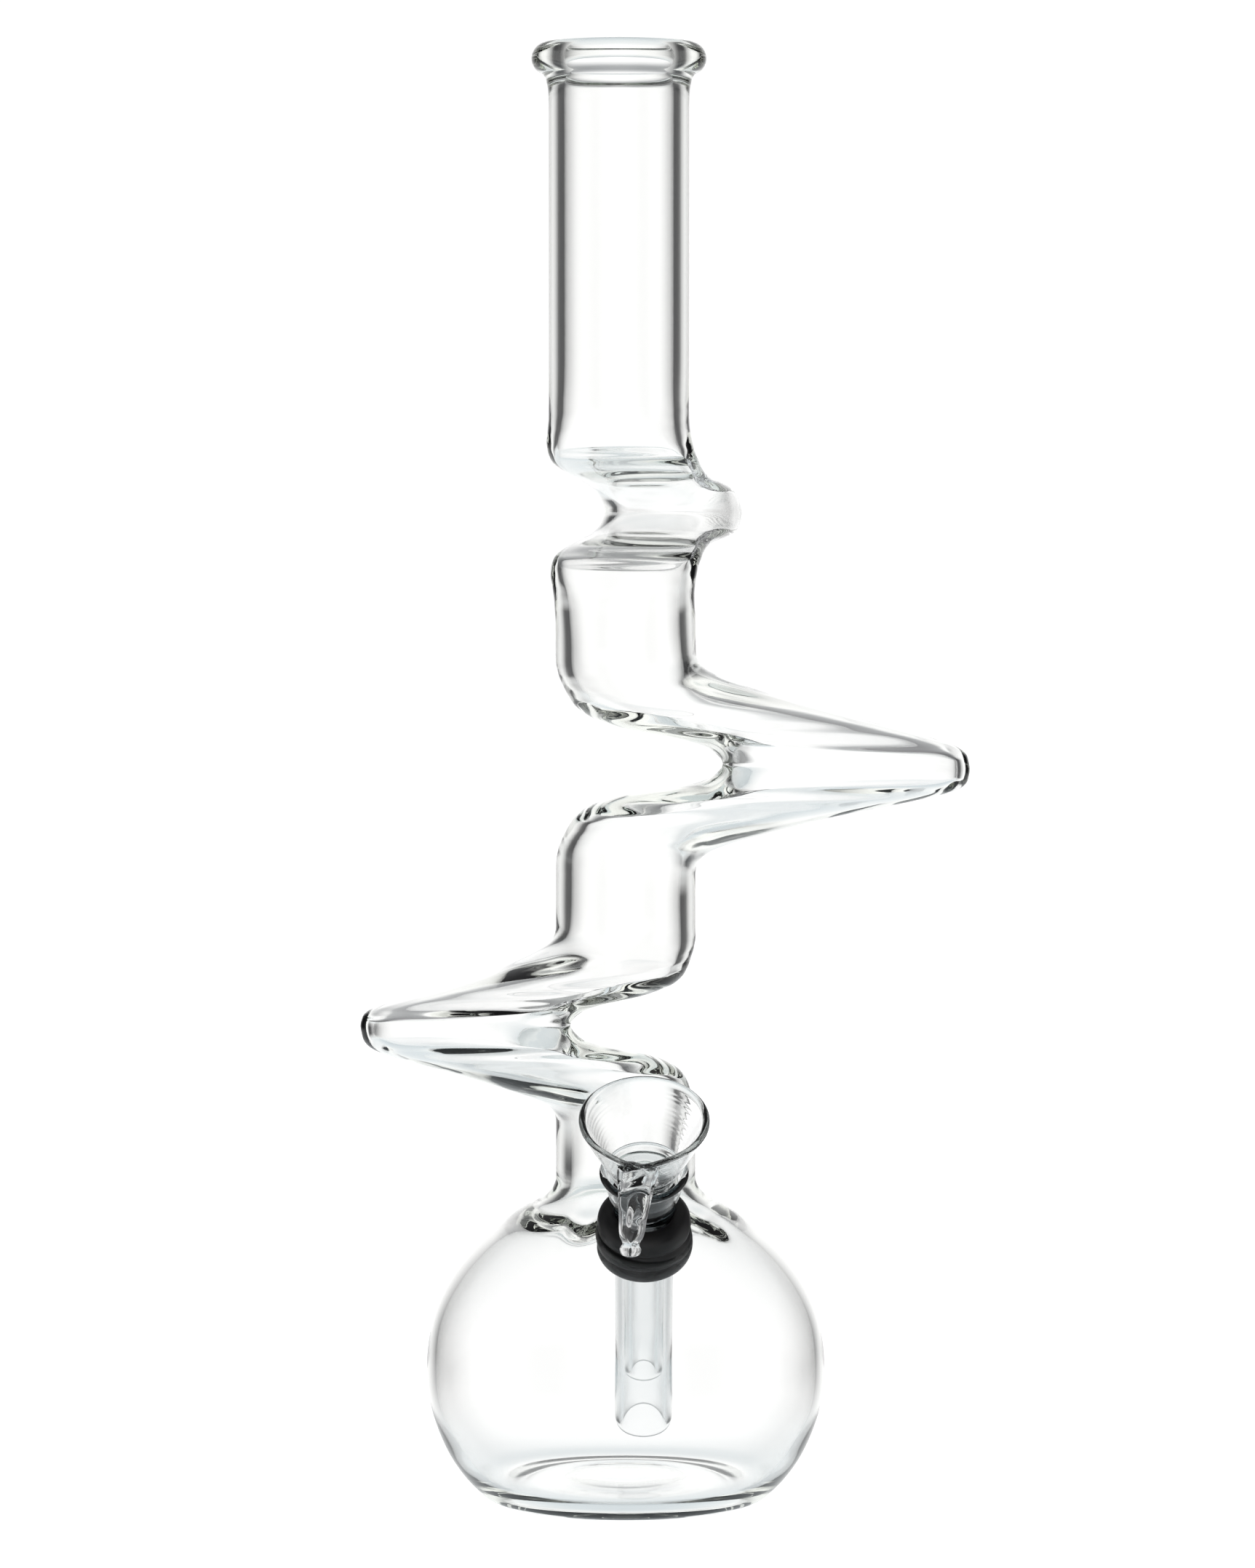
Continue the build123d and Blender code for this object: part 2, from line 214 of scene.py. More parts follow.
def soft_rows(rows, scale):
    """A table of rows (height, value), made smooth, as arrays to interpolate in."""
    heights = np.arange(-TABLE_REACH, TABLE_REACH + TABLE_STEP / 2, TABLE_STEP)
    table = np.array(rows, float)
    values = np.interp(np.abs(heights), table[:, 0], table[:, 1])
    reach = np.arange(-3 * scale, 3 * scale + TABLE_STEP / 2, TABLE_STEP)
    weights = np.exp(-0.5 * (reach / scale) ** 2)
    padded = np.pad(values, len(reach) // 2, mode="edge")
    return heights, np.convolve(padded, weights / weights.sum(), mode="valid")[:len(heights)]


PROFILES = {"long": LONG_ARMS, "short": SHORT_ARMS, "notch": NOTCHED_SIDE, "width": WIDTH, "taper": TAPER}
SOFT = {key: soft_rows(rows, SOFTENING) for key, rows in PROFILES.items()}


def read(key, full):
    """A value from one of a kink's profiles, at a height in the full-size kink."""
    return np.interp(full, *SOFT[key])


def neck_shift(z):
    """Sideways place of the neck's axis, which moves over in the upper half of the upper kink."""
    share = (z - KINKS["kink_upper"]["z"]) / KINK_REACH_Z
    return UPPER_TUBE_SHIFT * np.clip(share, 0.0, 1.0)


def full_height(kink, z):
    """Height above a kink's middle, as it would be in a kink of full size."""
    above = z - kink["z"]
    return above / np.where(above > 0, kink["up"], kink["down"])


def kink_at(z):
    """The kink that a height falls in, or None on plain tube."""
    for kink in KINKS.values():
        if abs(full_height(kink, z)) < KINK_REACH_Z:
            return kink
    return None


def sides(kink, z):
    """Distances of the notched and the pointed side from the axis."""
    full = full_height(kink, z)
    tip = TUBE_R + (read(kink["arms"], full) - TUBE_R) * (kink["tip"] - TUBE_R) / (PROFILE_TIP - TUBE_R)
    notch = -TUBE_R + (read("notch", full) + TUBE_R) * (kink["notch"] + TUBE_R) / (PROFILE_NOTCH + TUBE_R)
    return notch, tip


def neck_levels():
    """Heights of the neck's rings: closer together where a kink's sides run nearly level."""
    fine = np.arange(NECK_WELD_Z, LIP_TUBE_Z + LEVEL_STEP / 2, LEVEL_STEP)
    notch, tip = np.full(len(fine), -TUBE_R), np.full(len(fine), TUBE_R)
    for kink in KINKS.values():
        near = np.abs(full_height(kink, fine)) < KINK_REACH_Z
        notch[near], tip[near] = sides(kink, fine[near])
    step = np.maximum(np.abs(np.diff(notch)), np.abs(np.diff(tip)))
    step = np.hypot(step, np.diff(fine) * np.where(np.abs(np.diff(tip)) > 0, 1.0, PLAIN_TUBE_SHARE))
    along = np.concatenate([[0], np.cumsum(step)])
    count = int(along[-1] / RING_STEP)
    return np.interp(np.linspace(0, along[-1], count), along, fine)


def blunt(share, full):
    """Make a ring in the middle of a kink fuller than an ellipse."""
    power = 1 - (1 - FULLNESS) * np.clip((PLAIN_ABOVE - abs(full)) / (PLAIN_ABOVE - FULL_BELOW), 0, 1)
    return np.sign(share) * np.abs(share) ** power


def ring_rows(path, shift=0.0):
    """Level round rings for a path of (radius, height)."""
    rows = []
    for radius, z in path:
        x = shift + radius * np.cos(RING_ANGLES)
        rows.append(np.stack([x, radius * np.sin(RING_ANGLES), np.full(NECK_SEGMENTS, z)], axis=1))
    return np.array(rows)


def neck_ring(z):
    """One ring of the neck's outside: level on plain tube, and a little tilted in a kink."""
    kink = kink_at(z)
    if kink is None:
        return ring_rows([(TUBE_R, z)], neck_shift(z))[0]
    full = full_height(kink, z)
    notch, tip = sides(kink, z)
    turn = math.radians(kink["turn"])
    local = RING_ANGLES - turn
    middle, half = (notch + tip) / 2, (tip - notch) / 2
    along, sideways = blunt(np.cos(local), full), blunt(np.sin(local), full)
    out = middle + half * along
    across = read("width", full) * sideways * (1 - read("taper", full) * along)
    tilt = kink["rise"] / kink["tip"] * (1 - abs(full) / KINK_REACH_Z)
    x = neck_shift(z) + out * math.cos(turn) - across * math.sin(turn)
    y = out * math.sin(turn) + across * math.cos(turn)
    return np.stack([x, y, z + tilt * out], axis=1)


def grid_normals(grid):
    """Outward normals of a grid of rings that goes up with its angle running anticlockwise."""
    along = np.gradient(grid, axis=0)
    around = np.roll(grid, -1, axis=1) - np.roll(grid, 1, axis=1)
    normal = np.cross(around, along)
    return normal / np.linalg.norm(normal, axis=2, keepdims=True)


def ripple(height):
    """Gentle unevenness of hand-worked glass round one ring, between about -1 and 1."""
    total = np.zeros(NECK_SEGMENTS)
    random = np.random.default_rng(RIPPLE_SEED)
    for waves in (1, 2, 3):
        length = random.uniform(*RIPPLE_LENGTHS)
        phase_a, phase_h = random.uniform(0, 2 * math.pi, 2)
        swing = np.sin(waves * RING_ANGLES + phase_a) * np.sin(2 * math.pi * height / length + phase_h)
        total = total + swing / waves ** 0.5
    return total / 2.0


def gathered(lump, full, away):
    """Extra glass in one lump, at a height in the kink and an angle from the lump's direction."""
    extra, height, half_height, half_width = lump
    return extra * math.exp(-((full - height) / half_height) ** 2) * np.exp(-(away / half_width) ** 2)


def thickened(reach, full, away):
    """1 in the middle of a thick patch, falling to 0 past its half height and half width."""
    half_height, half_width = reach
    return math.exp(-(full / half_height) ** 4) * np.exp(-(away / half_width) ** 4)


def neck_wall(z):
    """Thickness of the glass round one ring: thin in a kink's arms, thick at its point and folds."""
    kink = kink_at(z)
    if kink is None:
        return np.full(NECK_SEGMENTS, WALL)
    full = abs(full_height(kink, z))
    from_tip = np.abs((RING_ANGLES - math.radians(kink["turn"]) + math.pi) % (2 * math.pi) - math.pi)
    from_notch = math.pi - from_tip
    stretched = min((1 - full / KINK_REACH_Z) / THINNING_SHARE, 1.0)
    wall = WALL + (KINK_WALL - WALL) * stretched + UNEVENNESS * stretched * ripple(z)
    wall = wall + (TIP_WALL - KINK_WALL) * thickened(TIP_REACH, full, from_tip)
    wall = wall + (NOTCH_WALL - KINK_WALL) * thickened(NOTCH_REACH, full, from_notch)
    wall = wall + gathered(CORNER, full, from_tip)
    return wall + gathered(FOLD, full, from_notch) + gathered(BEAD, full, from_notch)


def inner_rows(outer, levels):
    """The inside of the neck: the outside moved in by the wall, and made smooth."""
    wall = np.array([neck_wall(z) for z in levels])
    inner = outer - grid_normals(outer) * wall[:, :, None]
    for _ in range(SMOOTHING_ROUNDS):
        beside = (np.roll(inner, 1, axis=1) + np.roll(inner, -1, axis=1)) / 2
        above_and_below = (inner[:-2] + inner[2:]) / 2
        inner[1:-1] = 0.5 * inner[1:-1] + 0.2 * beside[1:-1] + 0.3 * above_and_below
    return inner


def lip_rows():
    """From the tube's outside, over the rolled lip, and back to its inside."""
    bore = TUBE_R - WALL
    flare = [(TUBE_R, LIP_TUBE_Z), (TUBE_R + 0.2, LIP_TUBE_Z + 3.5), (TUBE_R + 0.8, LIP_TUBE_Z + 6.4)]
    roll_z = LIP_TOP_Z - LIP_ROLL_R
    roll = [(LIP_RING_R + LIP_ROLL_R * math.cos(a), roll_z + LIP_ROLL_R * math.sin(a))
            for a in np.radians(np.arange(-72, 166, 7.0))]
    inside = [(bore + 0.05, roll_z - 1.2), (bore, LIP_TUBE_Z + 5), (bore, LIP_TUBE_Z)]
    path = np.vstack([even_path(flare, 1.0)[1:], roll, even_path(inside, 1.5)[:-1]])
    return ring_rows(path, UPPER_TUBE_SHIFT)


def soft_step(distance, softness):
    """0 well before a place and 1 well past it."""
    return 1 / (1 + np.exp(-distance / softness))


def weld_runs(rows):
    """Lower the inside of the shoulder where glass has run, under the weld."""
    x, y, z = rows[:, :, 0], rows[:, :, 1], rows[:, :, 2]
    angle = np.arctan2(y, x)
    radius = np.hypot(x, y)
    ring_depth, ring_r, ring_half_width = WELD_RING
    thick = ring_depth * np.exp(-((radius - ring_r) / ring_half_width) ** 2)
    for at, depth, half_width, reach in RUNS:
        turn = (angle - at + math.pi) % (2 * math.pi) - math.pi
        side = np.exp(-(turn / half_width) ** 2)
        start = soft_step(radius - RUN_START_R, RUN_START_SOFTNESS)
        end = soft_step(RUN_BASE_R + reach - radius, RUN_END_SOFTNESS)
        thick = thick + depth * side * start * end
    drop = np.where(z > RUN_BOTTOM_Z, thick, 0.0) * np.clip((RUN_TOP_Z - z) / RUN_FADE, 0, 1)
    return np.stack([x, y, z - drop], axis=2)


def stem_matrix():
    """From the stem's own frame (millimetres, z out along the stem) to the row frame in metres."""
    angle = math.radians(STEM_ANGLE)
    x = Vector((1, 0, 0))
    z = Vector((0, -math.cos(angle), math.sin(angle)))
    y = z.cross(x)
    turn = Matrix((x, y, z)).transposed().to_4x4()
    return Matrix.Translation(Vector((STEM_X, 0, STEM_Z)) * MM) @ turn @ Matrix.Scale(MM, 4)


def grid_faces(rows, columns):
    """Four-sided faces between rings of points that follow each other."""
    faces = []
    for i in range(rows - 1):
        a, b = i * columns, (i + 1) * columns
        for j in range(columns):
            k = (j + 1) % columns
            faces.append((a + j, a + k, b + k, b + j))
    return faces


def closed_skin(rows):
    """Points and faces of rings joined in order, with a fan of faces at each end."""
    count, columns = rows.shape[:2]
    points = rows.reshape(-1, 3)
    ends = np.array([rows[0].mean(axis=0), rows[-1].mean(axis=0)])
    faces = grid_faces(count, columns)
    bottom, top = len(points), len(points) + 1
    last = (count - 1) * columns
    for j in range(columns):
        k = (j + 1) % columns
        faces.append((bottom, k, j))
        faces.append((top, last + j, last + k))
    return np.vstack([points, ends]), faces


def combine(piece, mesh, operation):
    """Cut a mesh out of a piece, or fuse it to the piece."""
    other = bpy.data.objects.new("other", mesh)
    bpy.context.scene.collection.objects.link(other)
    work = piece.modifiers.new("combine", "BOOLEAN")
    work.operation = operation
    work.solver = "EXACT"
    work.object = other
    done = bpy.data.meshes.new_from_object(piece.evaluated_get(bpy.context.evaluated_depsgraph_get()))
    piece.modifiers.clear()
    piece.data = done
    for polygon in done.polygons:
        polygon.use_smooth = True
        polygon.material_index = 0
    bpy.data.objects.remove(other)


def hole_cutter():
    """A plain cylinder where the grommet goes through the vessel's wall."""
    mesh = bpy.data.meshes.new("hole_cutter")
    tool = bmesh.new()
    depth = STEM_HOLE_END - STEM_HOLE_START
    place = stem_matrix() @ Matrix.Translation((0, 0, STEM_HOLE_START + depth / 2))
    bmesh.ops.create_cone(tool, cap_ends=True, segments=STEM_SEGMENTS, radius1=STEM_HOLE_R,
                          radius2=STEM_HOLE_R, depth=depth, matrix=place)
    tool.to_mesh(mesh)
    tool.free()
    return mesh


def make_vessel(material):
    """Bubble, neck, kinks and mouthpiece as one closed skin of glass."""
    base = ring_rows(even_path(BASE_OUTSIDE, 1.0)[::-1][1:])
    bubble = ring_rows(even_path(BUBBLE_OUTSIDE, 1.6)[::-1][1:])
    levels = neck_levels()
    neck = np.array([neck_ring(z) for z in levels])
    inside_neck = inner_rows(neck, levels)[::-1]
    inside = weld_runs(ring_rows(even_path(BUBBLE_INSIDE, 1.2)[1:-1]))
    rows = np.concatenate([base, bubble, neck[1:], lip_rows(), inside_neck, inside])
    points, faces = closed_skin(rows)
    vessel = new_piece("vessel_glass", metres(points), faces, material, "root",
                       ["bubble_base", "bubble_wall", "bubble_shoulder", "neck_foot",
                        "kink_lower_under", "kink_lower_over", "neck_lower", "kink_middle_under",
                        "kink_middle_over", "neck_upper", "kink_upper_under", "kink_upper_over",
                        "mouth_tube", "mouth_lip"])
    combine(vessel, hole_cutter(), "DIFFERENCE")


def lathe(name, path, material, body, nodes, reshape=None):
    """Turn a closed path of (radius, place along the stem) about the stem axis."""
    matrix = stem_matrix()
    points = []
    for radius, along in path:
        for angle in np.linspace(0, 2 * math.pi, STEM_SEGMENTS, endpoint=False):
            r, s = reshape(radius, along, angle) if reshape else (radius, along)
            points.append(matrix @ Vector((r * math.cos(angle), r * math.sin(angle), s)))
    faces = grid_faces(len(path), STEM_SEGMENTS)
    last = (len(path) - 1) * STEM_SEGMENTS
    for j in range(STEM_SEGMENTS):
        k = (j + 1) % STEM_SEGMENTS
        faces.append((last + j, last + k, k, j))
    return new_piece(name, points, faces, material, body, nodes)


def rounded_loop(*stretches, step=0.5):
    """A closed path made of smooth stretches, which meet at sharp corners."""
    parts = [even_path(stretch, step)[:-1] for stretch in stretches]
    return np.vstack(parts)


def make_downstem(material):
    """The tube that reaches into the bubble, with a flared, lipped cup on its upper end."""
    outside = [(6.9, -21.3), (7.4, -21.1), (7.7, -20.5), (7.7, 10.0), (7.7, 45.0), (7.7, 56.3), (8.0, 58.0),
               (9.0, 61.6), (9.9, 65.6), (10.4, 68.6), (10.5, 69.6)]
    lip = [(10.5, 69.6), (11.2, 69.9), (11.8, 70.6), (11.85, 71.3), (11.4, 71.9), (10.7, 72.1), (10.0, 71.7),
           (9.75, 70.9)]
    inside = [(9.75, 70.9), (9.5, 69.2), (8.9, 65.6), (7.3, 59.8), (6.2, 57.6), (5.9, 55.8), (5.9, 45.0),
              (5.9, 10.0), (5.9, -20.5), (6.2, -21.1), (6.9, -21.3)]
    lathe("downstem_glass", rounded_loop(outside, lip, inside, step=0.7), material,
          "downstem", ["downstem_tube", "downstem_cup"])


def worked_by_hand(radius, along, angle):
    """The funnel's faint tool marks, and its rim, drawn down a little where the handle joins it."""
    turn = (angle + math.pi / 2 - HANDLE_TURN + math.pi) % (2 * math.pi) - math.pi
    height = min(max((along - FUNNEL_START) / FUNNEL_HEIGHT, 0.0), 1.0)
    share = math.exp(-(turn / RIM_DIP_HALF_WIDTH) ** 2) * height ** 2
    marks = TOOL_MARK * math.sin(TOOL_MARK_WAVES * along + angle + 2 * radius) * min(4 * height, 1.0)
    return radius + RIM_DRAWN_OUT * share + marks, along - RIM_DRAWN_DOWN * share


def make_slide(material):
    """The funnel on its long stem, fused with its handle."""
    outside = [(4.3, -1.2), (4.9, -1.0), (5.2, -0.4), (5.2, 20.0), (5.2, 50.0), (5.2, 65.4), (5.5, 66.5),
               (6.6, 67.3), (7.7, 68.6), (8.5, 70.3), (9.6, 73.0), (12.3, 78.8), (15.6, 86.0), (16.9, 88.9)]
    rim = [(16.9, 88.9), (17.25, 89.5), (17.15, 90.05), (16.6, 90.28), (15.9, 90.15), (15.4, 89.6)]
    inside = [(15.4, 89.6), (13.9, 86.4), (11.1, 80.0), (8.6, 73.8)]
    floor = [(8.6, 73.8), (7.7, 72.4), (6.4, 71.3), (4.6, 70.5), (3.5, 69.6), (3.5, 60.0), (3.5, 20.0),
             (3.5, -0.4), (3.8, -1.0), (4.3, -1.2)]
    slide = lathe("slide_glass", rounded_loop(outside, rim, inside, floor, step=0.6), material,
                  "slide", ["slide_bowl", "slide_stem", "slide_handle"], worked_by_hand)
    combine(slide, make_handle(), "UNION")


def make_grommet(material):
    """The ribbed rubber ring in the vessel's hole."""
    outside = [(GROMMET_BORE_R, 56.7), (8.2, 56.9), (9.8, 56.9), (11.0, 56.6), (12.0, 55.6), (12.45, 54.2),
               (12.5, 52.4), (12.3, 51.4), (12.0, 51.0), (12.4, 50.5), (12.65, 49.6), (12.7, 46.9),
               (12.5, 45.8), (12.2, 45.4), (12.5, 44.8), (12.45, 43.2), (11.8, 41.6), (10.7, 40.7),
               (9.4, 40.5), (GROMMET_BORE_R, 40.6)]
    bore = [(GROMMET_BORE_R, 40.6), (GROMMET_BORE_R, 50.0), (GROMMET_BORE_R, 56.7)]
    lathe("stem_grommet_rubber", rounded_loop(outside, bore), material, "root",
          ["stem_grommet"])


def make_seal(material):
    """The rubber ring in the downstem's cup, round the slide's stem."""
    outside = [(SEAL_BORE_R, 65.3), (5.6, 65.5), (7.6, 65.5), (8.3, 65.2), (8.45, 64.5), (7.85, 62.6),
               (6.95, 59.8), (6.6, 59.4), (5.7, 59.3), (SEAL_BORE_R, 59.6)]
    bore = [(SEAL_BORE_R, 59.6), (SEAL_BORE_R, 65.3)]
    lathe("slide_seal_rubber", rounded_loop(outside, bore, step=0.4), material,
          "slide_seal", ["slide_seal"])


def make_handle():
    """A flattened, slightly twisted drawn rod with a ball end, as uneven as a hand leaves it."""
    line = even_path(HANDLE_ROWS, 0.45)
    angle = np.linspace(0, 2 * math.pi, HANDLE_SEGMENTS, endpoint=False)
    tangent = np.gradient(line[:, :2], axis=0)
    tangent /= np.linalg.norm(tangent, axis=1)[:, None]
    turn = Matrix.Rotation(HANDLE_TURN, 4, "Z")
    points = []
    for (out, along, wide, thick), (slope_out, slope_along) in zip(line, tangent):
        share = (out - line[0, 0]) / (line[-1, 0] - line[0, 0])
        twist = HANDLE_TWIST * math.sin(2.2 * math.pi * share)
        side = wide * np.cos(angle) * (1 + 0.06 * np.sin(9 * share))
        ridges = 1 + 0.28 * np.cos(3 * angle + 5 * share)
        waists = 1 + 0.2 * np.sin(14 * share)
        up = thick * np.sin(angle) * ridges * waists
        across = side * math.cos(twist) - up * math.sin(twist)
        lift = side * math.sin(twist) + up * math.cos(twist)
        points.extend(turn @ Vector((a, -(out - b * slope_along), along + b * slope_out))
                      for a, b in zip(across, lift))
    mesh = bpy.data.meshes.new("handle")
    faces = grid_faces(len(line), HANDLE_SEGMENTS)
    faces.append(tuple(range(HANDLE_SEGMENTS))[::-1])
    faces.append(tuple(range(len(points) - HANDLE_SEGMENTS, len(points))))
    matrix = stem_matrix()
    mesh.from_pydata([tuple(matrix @ point) for point in points], [], faces)
    return mesh


def shader(name):
    """A new material with its nodes, its links and its surface shader."""
    material = bpy.data.materials.new(name)
    material.use_nodes = True
    nodes, links = material.node_tree.nodes, material.node_tree.links
    return material, nodes, links, nodes["Principled BSDF"]


def ramp(nodes, stops):
    """A colour ramp through stops of (position, grey or colour)."""
    node = nodes.new("ShaderNodeValToRGB")
    elements = node.color_ramp.elements
    while len(elements) < len(stops):
        elements.new(0.5)
    for element, (position, value) in zip(elements, stops):
        element.position = position
        element.color = (*value, 1) if isinstance(value, tuple) else (value, value, value, 1)
    return node


def add_noise(nodes, links, scale, detail):
    """Noise fixed to the object: scale is in waves to the metre."""
    place = nodes.new("ShaderNodeTexCoord")
    noise = nodes.new("ShaderNodeTexNoise")
    noise.inputs["Scale"].default_value = scale
    noise.inputs["Detail"].default_value = detail
    links.new(place.outputs["Object"], noise.inputs["Vector"])
    return noise


def add_bump(nodes, links, noise, surface, strength, distance):
    """Roughen a surface with a noise: distance is in metres."""
    bump = nodes.new("ShaderNodeBump")
    bump.inputs["Strength"].default_value = strength
    bump.inputs["Distance"].default_value = distance
    links.new(noise.outputs["Fac"], bump.inputs["Height"])
    links.new(bump.outputs["Normal"], surface.inputs["Normal"])


GLASS_IOR = 1.47


def glass_material(name, tint_colour, tint_density):
    """Clear borosilicate, tinted where it is thick, with a very slightly wavy surface."""
    material, nodes, links, surface = shader(name)
    surface.inputs["Base Color"].default_value = (1.0, 1.0, 1.0, 1)
    surface.inputs["Transmission Weight"].default_value = 1.0
    surface.inputs["Roughness"].default_value = 0.0
    surface.inputs["IOR"].default_value = GLASS_IOR
    waves = add_noise(nodes, links, 40.0, 1.0)
    add_bump(nodes, links, waves, surface, 0.05, 0.0002)
    tint = nodes.new("ShaderNodeVolumeAbsorption")
    tint.inputs["Color"].default_value = (*tint_colour, 1)
    tint.inputs["Density"].default_value = tint_density
    links.new(tint.outputs["Volume"], nodes["Material Output"].inputs["Volume"])
    return material


def rubber_material():
    """Black moulded rubber with a satin skin, fine grain and a little dust."""
    material, nodes, links, surface = shader("black_rubber")
    grain = add_noise(nodes, links, 2600.0, 3.0)
    cloud = add_noise(nodes, links, 120.0, 4.0)
    colour = ramp(nodes, [(0.35, (0.003, 0.003, 0.0035)), (0.8, (0.010, 0.0095, 0.0095))])
    links.new(cloud.outputs["Fac"], colour.inputs["Fac"])
    links.new(colour.outputs["Color"], surface.inputs["Base Color"])
    rough = nodes.new("ShaderNodeMapRange")
    rough.inputs["To Min"].default_value = 0.3
    rough.inputs["To Max"].default_value = 0.52
    links.new(cloud.outputs["Fac"], rough.inputs["Value"])
    links.new(rough.outputs["Result"], surface.inputs["Roughness"])
    surface.inputs["Specular IOR Level"].default_value = 0.28
    add_bump(nodes, links, grain, surface, 0.25, 0.00008)
    return material


# Half the floor's side, and how far it lies under the object, in metres
FLOOR_REACH = 4.0
FLOOR_DROP = 0.0003


def make_floor():
    """A plain white floor with a faint glow of its own, so that it looks evenly lit."""
    mesh = bpy.data.meshes.new("floor")
    corners = [(-FLOOR_REACH, -FLOOR_REACH), (FLOOR_REACH, -FLOOR_REACH), (FLOOR_REACH, FLOOR_REACH),
               (-FLOOR_REACH, FLOOR_REACH)]
    mesh.from_pydata([(x, y, -FLOOR_DROP) for x, y in corners], [], [(0, 1, 2, 3)])
    floor = bpy.data.objects.new("floor", mesh)
    bpy.context.scene.collection.objects.link(floor)
    material, nodes, links, surface = shader("white_floor")
    surface.inputs["Base Color"].default_value = (0.9, 0.9, 0.9, 1)
    surface.inputs["Roughness"].default_value = 0.8
    surface.inputs["Emission Color"].default_value = (1, 1, 1, 1)
    surface.inputs["Emission Strength"].default_value = 0.9
    mesh.materials.append(material)
    floor.visible_transmission = False
    floor.visible_glossy = False


# What the glass sees round it in the studio: bearing in degrees from +Y, with + towards +X, and how
# dark it is there. The half towards -Y repeats it, so that the glass looks alike from the back. The
# flags on the two sides differ, and so do the glass's edges.
FLAGS = [(-90, 0.2), (-84, 0.28), (-78, 0.45), (-71, 0.6), (-64, 0.82), (-57, 0.96), (-42, 0.98), (-36, 0.92),
         (-31, 0.72), (-26, 0.52), (-21, 0.36), (-16, 0.2), (-11, 0.07), (-7, 0.0), (8, 0.0), (12, 0.06),
         (17, 0.18), (22, 0.34), (27, 0.5), (32, 0.75), (37, 0.94), (43, 0.98), (54, 0.97), (60, 0.85),
         (66, 0.65), (72, 0.55), (78, 0.42), (84, 0.26), (90, 0.18)]


# How strongly the flags show at each height, and the backdrop's own light there, by degrees above
# or below level
FLAG_HEIGHTS = [(-90, 0.0), (-25.2, 0.0), (-12.6, 0.55), (-6.84, 1.0), (18, 1.0), (36, 0.6), (90, 0.2)]
BACKDROP = [(-90, (0.58, 0.64, 0.67)), (-45, (0.72, 0.78, 0.81)), (-21.6, (0.93, 0.96, 0.97)),
            (-10.8, (1.15, 1.15, 1.15)), (14.4, (1.15, 1.15, 1.15)), (28.8, (0.45, 0.46, 0.47)),
            (50.4, (0.27, 0.27, 0.28)), (90, (0.5, 0.5, 0.51))]
FLAG_COLOUR = (0.02, 0.02, 0.022, 1)
CAMERA_WHITE = 1.05


def add_math(nodes, links, operation, *sources):
    """A math node on sockets and plain numbers, and its result."""
    node = nodes.new("ShaderNodeMath")
    node.operation = operation
    for socket, source in zip(node.inputs, sources):
        if isinstance(source, (int, float)):
            socket.default_value = source
        else:
            links.new(source, socket)
    return node.outputs[0]


def degree_ramp(nodes, links, degrees, stops):
    """A colour ramp whose stops are given in degrees from -90 to 90."""
    node = ramp(nodes, [((at + 90) / 180, value) for at, value in stops])
    share = add_math(nodes, links, "DIVIDE", add_math(nodes, links, "ADD", degrees, 90.0), 180.0)
    links.new(share, node.inputs["Fac"])
    return node.outputs["Color"]


def studio_colour(nodes, links):
    """What the glass sees: the backdrop at each height, darkened by the flags round it."""
    place = nodes.new("ShaderNodeTexCoord")
    split = nodes.new("ShaderNodeSeparateXYZ")
    links.new(place.outputs["Generated"], split.inputs["Vector"])
    forward = add_math(nodes, links, "ABSOLUTE", split.outputs["Y"])
    around = add_math(nodes, links, "ARCTAN2", split.outputs["X"], forward)
    bearing = add_math(nodes, links, "DEGREES", around)
    rise = add_math(nodes, links, "DEGREES", add_math(nodes, links, "ARCSINE", split.outputs["Z"]))
    flags_here = degree_ramp(nodes, links, bearing, FLAGS)
    flags_this_high = degree_ramp(nodes, links, rise, FLAG_HEIGHTS)
    shade = nodes.new("ShaderNodeMix")
    shade.data_type = "RGBA"
    colours = {socket.name: socket for socket in shade.inputs if socket.type == "RGBA"}
    links.new(add_math(nodes, links, "MULTIPLY", flags_here, flags_this_high), shade.inputs["Factor"])
    links.new(degree_ramp(nodes, links, rise, BACKDROP), colours["A"])
    colours["B"].default_value = FLAG_COLOUR
    return [socket for socket in shade.outputs if socket.type == "RGBA"][0]


def light_world():
    """White to the camera. To the glass, a white backdrop between soft dark flags, as in a studio."""
    world = bpy.data.worlds.new("studio")
    bpy.context.scene.world = world
    world.use_nodes = True
    nodes, links = world.node_tree.nodes, world.node_tree.links
    nodes.clear()
    inside = nodes.new("ShaderNodeBackground")
    links.new(studio_colour(nodes, links), inside.inputs["Color"])
    white = nodes.new("ShaderNodeBackground")
    white.inputs["Color"].default_value = (1, 1, 1, 1)
    white.inputs["Strength"].default_value = CAMERA_WHITE
    ray = nodes.new("ShaderNodeLightPath")
    pick = nodes.new("ShaderNodeMixShader")
    links.new(ray.outputs["Is Camera Ray"], pick.inputs["Fac"])
    links.new(inside.outputs["Background"], pick.inputs[1])
    links.new(white.outputs["Background"], pick.inputs[2])
    output = nodes.new("ShaderNodeOutputWorld")
    links.new(pick.outputs["Shader"], output.inputs["Surface"])


SOFTBOX_AIM = Vector((0, 0, 0.1))


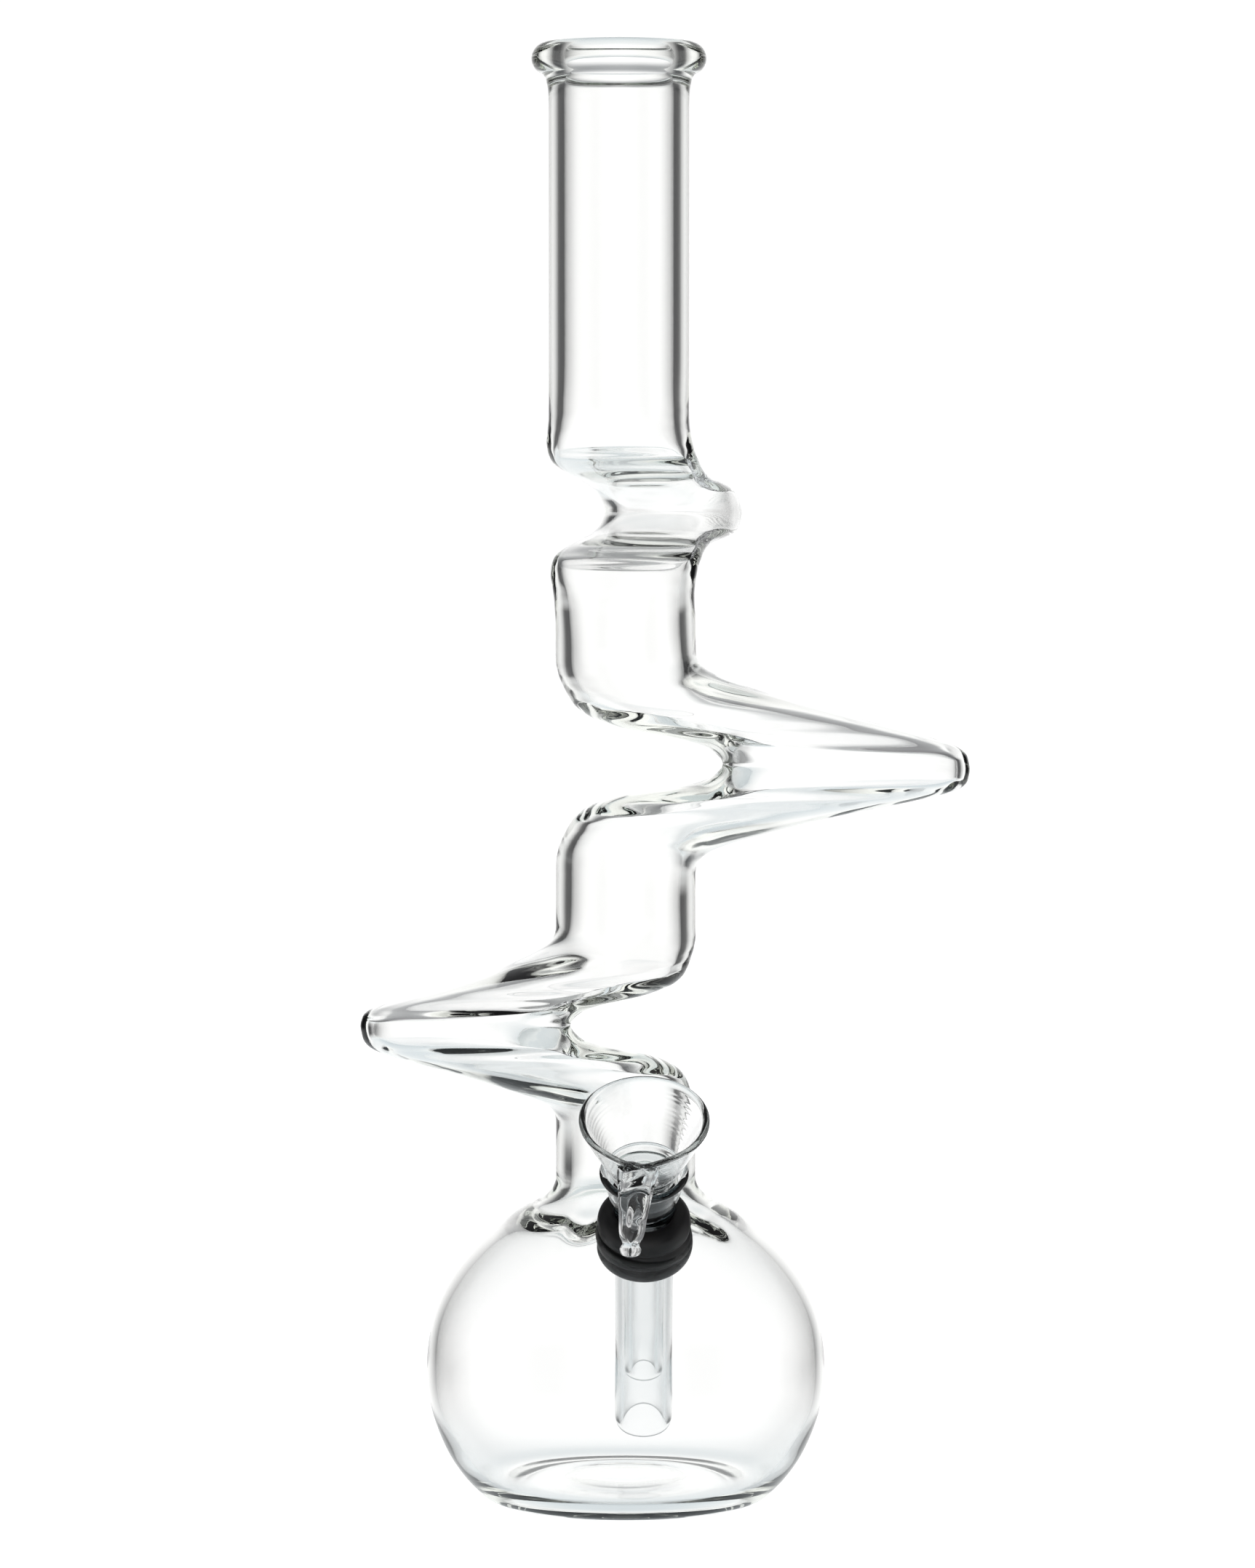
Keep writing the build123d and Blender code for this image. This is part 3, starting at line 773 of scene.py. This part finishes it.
def softbox(name, place, size, power):
    """A soft light aimed low at the object, that neither the camera nor the glass sees."""
    light = bpy.data.lights.new(name, "AREA")
    light.shape = "RECTANGLE"
    light.size, light.size_y = size
    light.energy = power
    lamp = bpy.data.objects.new(name, light)
    lamp.location = place
    lamp.rotation_euler = (SOFTBOX_AIM - Vector(place)).to_track_quat("-Z", "Y").to_euler()
    bpy.context.scene.collection.objects.link(lamp)
    lamp.visible_camera = False
    lamp.visible_transmission = False
    lamp.visible_glossy = False


# Camera in metres, with its lens and sensor in millimetres
CAMERA_DISTANCE = 1.55
CAMERA_HEIGHT = 0.285
CAMERA_AIM = Vector((0.0005, 0.0, 0.1951))
LENS = 131.4
SENSOR_HEIGHT = 36.0


def place_camera():
    """A long lens a little above the object's middle, on the side where the stem comes out."""
    camera = bpy.data.cameras.new("camera")
    camera.lens = LENS
    camera.sensor_fit = "VERTICAL"
    camera.sensor_height = SENSOR_HEIGHT
    camera.clip_end = 50.0
    viewer = bpy.data.objects.new("camera", camera)
    viewer.location = (0.0, -CAMERA_DISTANCE, CAMERA_HEIGHT)
    viewer.rotation_euler = (CAMERA_AIM - viewer.location).to_track_quat("-Z", "Y").to_euler()
    bpy.context.scene.collection.objects.link(viewer)
    bpy.context.scene.camera = viewer


GLASS_BOUNCES = 32


def render_look():
    """Plain colours, and enough bounces for light to get through many layers of glass."""
    scene = bpy.context.scene
    scene.view_settings.view_transform = "Standard"
    scene.cycles.max_bounces = GLASS_BOUNCES
    scene.cycles.transmission_bounces = GLASS_BOUNCES
    scene.cycles.glossy_bounces = 12
    scene.cycles.transparent_max_bounces = 16


clear_glass = glass_material("clear_glass", (0.79, 0.82, 0.71), 12.0)
stem_glass = glass_material("stem_glass", (0.70, 0.74, 0.75), 70.0)
slide_glass = glass_material("slide_glass", (0.76, 0.78, 0.76), 25.0)
rubber = rubber_material()
make_vessel(clear_glass)
make_downstem(stem_glass)
make_slide(slide_glass)
make_grommet(rubber)
make_seal(rubber)
make_floor()
light_world()
softbox("softbox_left", (-0.9, -0.7, 1.0), (0.5, 0.9), 12.0)
softbox("softbox_right", (1.0, -0.3, 0.8), (0.3, 0.8), 6.0)
place_camera()
render_look()
